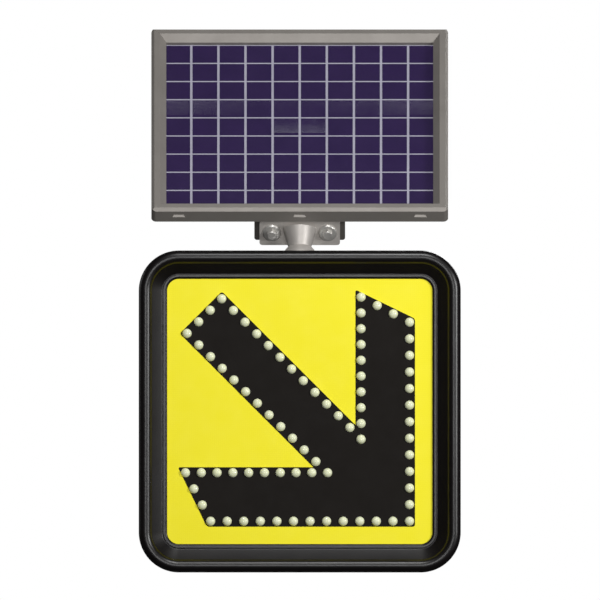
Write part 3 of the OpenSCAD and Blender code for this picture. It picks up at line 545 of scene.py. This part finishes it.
def islands(node_name):
    """The (lowest corner, highest corner) of each separate solid of a node."""
    work = bmesh.new()
    work.from_mesh(frame["nodes"][node_name].data)
    bmesh.ops.remove_doubles(work, verts=work.verts, dist=MERGE_DISTANCE)
    seen, boxes = set(), []
    for start in work.verts:
        if start in seen:
            continue
        stack, group = [start], []
        seen.add(start)
        while stack:
            v = stack.pop()
            group.append(v.co)
            for e in v.link_edges:
                other = e.other_vert(v)
                if other not in seen:
                    seen.add(other)
                    stack.append(other)
        boxes.append(tuple(Vector([pick(c[i] for c in group) for i in range(3)]) for pick in (min, max)))
    work.free()
    return boxes


def lathe(profile, steps):
    """Spins (radius, height) points round the Z axis into a closed mesh."""
    mesh = bpy.data.meshes.new("lathe")
    points, faces, rings = [], [], []
    for r, h in profile:
        if r == 0:
            rings.append([len(points)] * steps)
            points.append((0, 0, h))
        else:
            rings.append(list(range(len(points), len(points) + steps)))
            points += [(r * math.cos(2 * math.pi * i / steps), r * math.sin(2 * math.pi * i / steps), h)
                       for i in range(steps)]
    for low, high in zip(rings, rings[1:]):
        for i in range(steps):
            j = (i + 1) % steps
            corners = [low[i], low[j], high[j], high[i]]
            faces.append(list(dict.fromkeys(corners)))
    mesh.from_pydata(points, [], faces)
    return mesh


def arc(cx, cy, r, start, end, steps):
    """Points along an arc, from one angle in degrees to another."""
    return [(cx + r * math.cos(math.radians(start + (end - start) * i / steps)),
             cy + r * math.sin(math.radians(start + (end - start) * i / steps))) for i in range(steps + 1)]


# %% [markdown]
# ## Bezel
# The bezel is one profile carried round a rounded square: a half-round bead, a slope down to a lip,
# and a small rounded edge where the lip meets the face. Each point of the profile says how far it
# lies in from the outer edge and how far behind the bead's crest, in millimetres. A sweep in mesh
# code keeps the profile's curves finer than the frame's own mesh, so the highlight on the bead runs
# unbroken. The straight sides need no points of their own, only the corners do.

# %% Bezel
def softened(points, radius, steps=4):
    """Replaces each inner corner of a path by a small curve, cut back by radius along both legs."""
    path = [points[0]]
    for before, corner, after in zip(points, points[1:], points[2:]):
        a, c, b = Vector(before), Vector(corner), Vector(after)
        back = min(radius, (a - c).length * 0.45, (b - c).length * 0.45)
        start, end = c + (a - c).normalized() * back, c + (b - c).normalized() * back
        for i in range(steps + 1):
            t = i / steps
            p = start * (1 - t) ** 2 + c * (2 * t * (1 - t)) + end * t ** 2
            path.append((p.x, p.y))
    return path + [points[-1]]


BEZEL_CORNER = 75 * MM
BEAD_R, BEAD_HOLLOW_R = 12.5, 9
bezel_half = (bezel_high.x - bezel_low.x) / 2
face_side = [(25.3, 8.4), (43.5, 21.7), (46, 21.3), (49, 21.3), (51.2, 21.9), (53, 23.4), (53, 25)]
profile = (
    [(3.5, 48), (0.6, 48), (0, 47.4)]
    + arc(BEAD_R, BEAD_R, BEAD_R, 180, 332, 30)
    + softened([(24.2, 7.6)] + face_side, 0.6)
    + [(36.5, 25), (36.5, 42), (33, 42), (33, 18.2), (24, 12.5), (21.3, 11.6)]
    + arc(BEAD_R, BEAD_R, BEAD_HOLLOW_R, 350, 180, 14))


def swept_bezel(corner_steps=28):
    run = bezel_half - BEZEL_CORNER
    stations = []
    for turn in range(4):
        diagonal = math.radians(90 * turn + 45)
        centre = (math.copysign(run, math.cos(diagonal)), math.copysign(run, math.sin(diagonal)))
        for i in range(corner_steps + 1):
            stations.append((centre, math.radians(90 * (turn + i / corner_steps))))
    points = []
    for (cx, cz), angle in stations:
        for inward, behind in profile:
            reach = BEZEL_CORNER - inward * MM
            points.append((cx + reach * math.cos(angle), bezel_low.y + behind * MM,
                           cabinet_middle_z + cz + reach * math.sin(angle)))
    per_ring, total = len(profile), len(points)
    faces = []
    for ring in range(0, total, per_ring):
        for k in range(per_ring):
            a, b = ring + k, ring + (k + 1) % per_ring
            faces.append((a, b, (b + per_ring) % total, (a + per_ring) % total))
    mesh = bpy.data.meshes.new("bezel_moulding")
    mesh.from_pydata(points, [], faces)
    work = bmesh.new()
    work.from_mesh(mesh)
    bmesh.ops.recalc_face_normals(work, faces=work.faces)
    work.to_mesh(mesh)
    work.free()
    return mesh


bezel_mesh = swept_bezel()
smooth(bezel_mesh, 24)
new_piece("bezel_moulding", bezel_mesh, "sign", "bezel_plastic", "front_bezel")
print("bezel:", len(bezel_mesh.polygons), "faces from", len(profile), "profile points")

# %% [markdown]
# ## Arrow film
# A plotter's knife cuts this film, and its outer corners are left slightly round so that they don't
# lift. Only the short edges that run through the film at a convex corner are bevelled. Those round
# the lamp holes turn too little to be picked.

# %% Arrow film
def arrow_with_round_corners(radius):
    work = bmesh.new()
    work.from_mesh(merged_copy("arrow_film"))
    bmesh.ops.recalc_face_normals(work, faces=work.faces)
    picked = []
    for edge in work.edges:
        along = (edge.verts[1].co - edge.verts[0].co).normalized()
        if abs(along.y) > 0.99 and edge.is_manifold and edge.is_convex and edge.calc_face_angle() > 0.4:
            picked.append(edge)
    bmesh.ops.bevel(work, geom=picked, offset=radius, segments=6, profile=0.5, affect="EDGES",
                    offset_type="OFFSET", clamp_overlap=True)
    mesh = bpy.data.meshes.new("arrow_cut")
    work.to_mesh(mesh)
    work.free()
    print("arrow corners rounded:", len(picked))
    return mesh


arrow_mesh = arrow_with_round_corners(4.5 * MM)
smooth(arrow_mesh)
new_piece("arrow_cut", arrow_mesh, "sign", "black_film", "arrow_film")

# %% [markdown]
# ## Geometry Nodes for repeated shapes
# The lamps, the cells and the flange bolts are each one shape in many places. A Geometry Nodes tree
# says that once: it makes points, puts a copy of the shape on each, realizes the copies and gives
# them their finish. A tree is written here as three short lists: its inputs, its nodes and its wires.
# The first tree puts an object on each point of a small mesh. Its inputs are the shape, its turn and
# its finish. The result is kept as a plain mesh, so that the modifier needn't stay.

# %% Geometry Nodes for repeated shapes
def build_tree(name, inputs, kinds, wires):
    """A tree from its named inputs, its nodes, and wires of (node, output, node, input)."""
    tree = bpy.data.node_groups.new(name, "GeometryNodeTree")
    for socket_name, kind in {"Geometry": "Geometry", **inputs}.items():
        tree.interface.new_socket(socket_name, in_out="INPUT", socket_type="NodeSocket" + kind)
    tree.interface.new_socket("Geometry", in_out="OUTPUT", socket_type="NodeSocketGeometry")
    made = {key: tree.nodes.new("GeometryNode" + kind) for key, kind in kinds.items()}
    made["in"] = tree.nodes.new("NodeGroupInput")
    made["out"] = tree.nodes.new("NodeGroupOutput")
    for source, output, target, socket in wires:
        tree.links.new(made[source].outputs[output], made[target].inputs[socket])
    return tree


copies_tree = build_tree(
    "place_copies",
    {"Shape": "Object", "Turn": "Vector", "Finish": "Material"},
    {"shape": "ObjectInfo", "points": "MeshToPoints", "copies": "InstanceOnPoints",
     "real": "RealizeInstances", "paint": "SetMaterial"},
    [("in", "Geometry", "points", "Mesh"),
     ("in", "Shape", "shape", "Object"),
     ("points", "Points", "copies", "Points"),
     ("shape", "Geometry", "copies", "Instance"),
     ("in", "Turn", "copies", "Rotation"),
     ("copies", "Instances", "real", "Geometry"),
     ("real", "Geometry", "paint", "Geometry"),
     ("in", "Finish", "paint", "Material"),
     ("paint", "Geometry", "out", "Geometry")])


def apply_tree(name, start_mesh, tree, values, body, slot_name, replaced, sharp_degrees=SHARP_DEGREES):
    """Runs a tree on a start mesh, keeps the result as a plain mesh, and makes it a piece."""
    start = bpy.data.objects.new(name + "_start", start_mesh)
    bpy.context.scene.collection.objects.link(start)
    modifier = start.modifiers.new("nodes", "NODES")
    modifier.node_group = tree
    for item in tree.interface.items_tree:
        if item.item_type == "SOCKET" and item.in_out == "INPUT" and item.name in values:
            modifier[item.identifier] = values[item.name]
    bpy.context.view_layer.update()
    shown = start.evaluated_get(bpy.context.evaluated_depsgraph_get())
    mesh = bpy.data.meshes.new_from_object(shown)
    mesh.name = name
    bpy.data.objects.remove(start)
    smooth(mesh, sharp_degrees)
    new_piece(name, mesh, body, slot_name, replaced)
    print(name + ":", len(mesh.polygons), "faces")


def scatter(name, places, shape_mesh, turn, body, slot_name, replaced, sharp_degrees):
    """Copies one shape to many places through the instancing tree."""
    shape = bpy.data.objects.new(name + "_shape", shape_mesh)
    bpy.context.scene.collection.objects.link(shape)
    points = bpy.data.meshes.new(name + "_points")
    points.from_pydata([tuple(p) for p in places], [], [])
    values = {"Shape": shape, "Turn": turn, "Finish": finishes[slot_name]}
    apply_tree(name, points, copies_tree, values, body, slot_name, replaced, sharp_degrees)
    bpy.data.objects.remove(shape)

# %% [markdown]
# ## Lamp domes
# A dome is a moulding that is round about its own axis: a stem that goes through the face, a narrow
# seat, and the dome itself. So its half outline is lathed once, and a copy goes on each lamp's place,
# which is read from the frame.

# %% Lamp domes
lens_boxes = islands("led_lenses")
dome_r = (lens_boxes[0][1].x - lens_boxes[0][0].x) / 2
dome_front = lens_boxes[0][0].y
film_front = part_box("arrow_film")[0].y
dome_rise = film_front - dome_front
stem_back = lens_boxes[0][1].y - film_front
STEM_R, SEAT_H, SEAT_EDGE = 6 * MM, 1.0 * MM, 0.3 * MM
dome_profile = (
    [(0, -stem_back), (STEM_R, -stem_back), (STEM_R, 0), (dome_r - SEAT_EDGE, 0), (dome_r, SEAT_EDGE),
     (dome_r, SEAT_H)]
    + [(dome_r * c, SEAT_H + (dome_rise - SEAT_H) * s) for c, s in arc(0, 0, 1, 0, 90, 9)[1:-1]]
    + [(0, dome_rise)])
lens_places = [((low.x + high.x) / 2, film_front, (low.z + high.z) / 2) for low, high in lens_boxes]
scatter("lamp_domes", lens_places, lathe(dome_profile, 28), (math.radians(90), 0, 0),
        "sign", "lens_plastic", "led_lenses", sharp_degrees=50)
print("lamps:", len(lens_places), "dome radius", round(dome_r / MM, 2), "mm")

# %% [markdown]
# ## Solar cells
# The cells are a grid, so one Geometry Nodes tree makes them all: a grid of points, a thin plate on
# each, then one turn and one move that lay the whole grid on the panel's slope. Its inputs are the
# counts, the pitches and the size of a cell, all measured from the frame.

# %% Solar cells
CELL_THICK = 0.4 * MM
grid_tree = build_tree(
    "cell_grid",
    {"Columns": "Int", "Rows": "Int", "Grid Width": "Float", "Grid Height": "Float",
     "Cell Size": "Vector", "Slope": "Vector", "Centre": "Vector", "Finish": "Material"},
    {"grid": "MeshGrid", "cell": "MeshCube", "copies": "InstanceOnPoints",
     "real": "RealizeInstances", "lay": "Transform", "paint": "SetMaterial"},
    [("in", "Columns", "grid", "Vertices X"),
     ("in", "Rows", "grid", "Vertices Y"),
     ("in", "Grid Width", "grid", "Size X"),
     ("in", "Grid Height", "grid", "Size Y"),
     ("in", "Cell Size", "cell", "Size"),
     ("grid", "Mesh", "copies", "Points"),
     ("cell", "Mesh", "copies", "Instance"),
     ("copies", "Instances", "real", "Geometry"),
     ("real", "Geometry", "lay", "Geometry"),
     ("in", "Slope", "lay", "Rotation"),
     ("in", "Centre", "lay", "Translation"),
     ("lay", "Geometry", "paint", "Geometry"),
     ("in", "Finish", "paint", "Material"),
     ("paint", "Geometry", "out", "Geometry")])
to_flat = Matrix.Rotation(-panel_slope, 3, "X")
cell_boxes = [(to_flat @ ((low + high) / 2), low, high) for low, high in islands("solar_cells")]
columns = len({round(c.x / MM) for c, _, _ in cell_boxes})
rows = len({round(c.y / MM) for c, _, _ in cell_boxes})
xs = [c.x for c, _, _ in cell_boxes]
ys = [c.y for c, _, _ in cell_boxes]
cell_span = cell_boxes[0][2] - cell_boxes[0][1]
cell_h = (cell_span.y - CELL_THICK * math.sin(panel_slope)) / math.cos(panel_slope)
grid_centre = sum((c for c, _, _ in cell_boxes), Vector()) / len(cell_boxes)
apply_tree(
    "silicon_cells", bpy.data.meshes.new("cell_start"), grid_tree,
    {"Columns": columns, "Rows": rows, "Grid Width": max(xs) - min(xs), "Grid Height": max(ys) - min(ys),
     "Cell Size": (cell_span.x, cell_h, CELL_THICK), "Slope": (panel_slope, 0, 0),
     "Centre": tuple(to_flat.inverted() @ grid_centre), "Finish": finishes["cell_silicon"]},
    node_body["solar_cells"], "cell_silicon", "solar_cells")
print("cells:", columns, "by", rows, "each", round(cell_span.x / MM, 1), "by", round(cell_h / MM, 1), "mm")

# %% [markdown]
# ## Flange bolts
# Two bolts clamp the swivel's plate to the bracket. Each is forged with a round flange whose rim is
# rolled over, which is what catches the light. A bolt is a lathed flange with a six-sided head on
# top and a shank behind, and the same tree places both. Turning the frame's points back by the
# plate's lean shows where each bolt starts and ends along its own axis.

# %% Flange bolts
PLATE_LEAN = math.radians(30)


def prism(radius, low, high, sides, chamfer=0.0, start=0.0):
    """A closed prism along Z, with its upper edge cut back by the chamfer."""
    rings = [(radius, low), (radius, high - chamfer), (radius - chamfer * 1.6, high)]
    angles = [start + 2 * math.pi * i / sides for i in range(sides)]
    points = [(r * math.cos(angle), r * math.sin(angle), h) for r, h in rings for angle in angles]
    faces = [(low + i, low + (i + 1) % sides, low + sides + (i + 1) % sides, low + sides + i)
             for low in (0, sides) for i in range(sides)]
    return points, faces + [tuple(range(sides))[::-1], tuple(range(2 * sides, 3 * sides))]


def joined(parts):
    """Several (points, faces) pairs as one."""
    points, faces = [], []
    for part_points, part_faces in parts:
        faces += [tuple(i + len(points) for i in f) for f in part_faces]
        points += part_points
    return points, faces


from_plate = Matrix.Rotation(PLATE_LEAN, 3, "X")
to_plate = from_plate.inverted()
bolt_points = [to_plate @ v.co for v in frame["nodes"]["arm_bolts"].data.vertices]
bolt_front = min(p.y for p in bolt_points)
bolt_back = max(p.y for p in bolt_points)
right_bolt = [p for p in bolt_points if p.x > 0]
flange_r = (max(p.x for p in right_bolt) - min(p.x for p in right_bolt)) / 2
bolt_x = min(p.x for p in right_bolt) + flange_r
bolt_up = (max(p.z for p in right_bolt) + min(p.z for p in right_bolt)) / 2
HEAD_H, FLANGE_H, HEX_R, SHANK_R = 8.6 * MM, 4 * MM, 9.8 * MM, 5 * MM
flange_base = bolt_front + HEAD_H + FLANGE_H
rolled_rim = arc(flange_r - FLANGE_H, 0, FLANGE_H, 0, 90, 7)
flange_shape = lathe([(0, 0)] + rolled_rim + [(0, FLANGE_H)], 48)
bolt_parts = [
    ([tuple(v.co) for v in flange_shape.vertices], [tuple(p.vertices) for p in flange_shape.polygons]),
    prism(HEX_R, FLANGE_H - 0.2 * MM, FLANGE_H + HEAD_H, 6, 0.8 * MM, math.radians(30)),
    prism(SHANK_R, flange_base - bolt_back, 0, 24)]
bolt_mesh = bpy.data.meshes.new("flange_bolt")
points, faces = joined(bolt_parts)
bolt_mesh.from_pydata(points, [], faces)
bolt_places = [from_plate @ Vector((side * bolt_x, flange_base, bolt_up)) for side in (-1, 1)]
scatter("flange_bolts", bolt_places, bolt_mesh, (math.radians(90) + PLATE_LEAN, 0, 0),
        "panel_head", "zinc_steel", "arm_bolts", sharp_degrees=35)
print("flange radius", round(flange_r / MM, 2), "mm")

# %% [markdown]
# ## Everything else
# The remaining pieces keep the frame's shape. Each gets a bevel that suits how it was made: wide on
# castings and mouldings, narrow on sheet metal and small fasteners, and none on films.

# %% Finished copies
edge_widths = {
    0.0: ["yellow_sheeting", "bezel_gasket", "backsheet", "led_emitters", "lens_retainers", "panel_glass",
          "led_board", "door_gasket", "housing_gasket"],
    0.25: ["housing_screws", "ring_screws", "saddle_bolts", "swivel_base_bolts", "rail_bolts",
           "board_standoffs", "hinge_leaf_housing", "hinge_leaf_door", "hinge_pins", "lock_cam",
           "battery_terminals", "channel_bolts", "clamp_bolts", "bracket_bolts", "cable_loom",
           "power_rocker", "battery_strap"],
    0.5: ["frame_rail_bottom", "frame_rail_top", "frame_rail_left", "frame_rail_right", "panel_rails",
          "corner_keys", "face_panel", "face_spacer", "mounting_channel", "service_door", "lock_body",
          "vent_plug", "cable_gland", "switch_body", "seat_lower", "seat_upper", "controller_terminals",
          "battery_shelf", "panel_bracket", "junction_lid", "clamp_ring", "swivel_arm"],
    1.2: ["swivel_base", "clamp_saddles", "clamp_caps", "junction_box", "rear_housing",
          "charge_controller", "battery"],
}
done = {"front_bezel", "led_lenses", "solar_cells", "arrow_film", "arm_bolts"}
for edge, names in edge_widths.items():
    for node_name in names:
        finished(node_name, edge, 3 if edge > 1 else 2)
        done.add(node_name)
print("pieces:", len(done), "left over:", sorted(set(frame["nodes"]) - done))
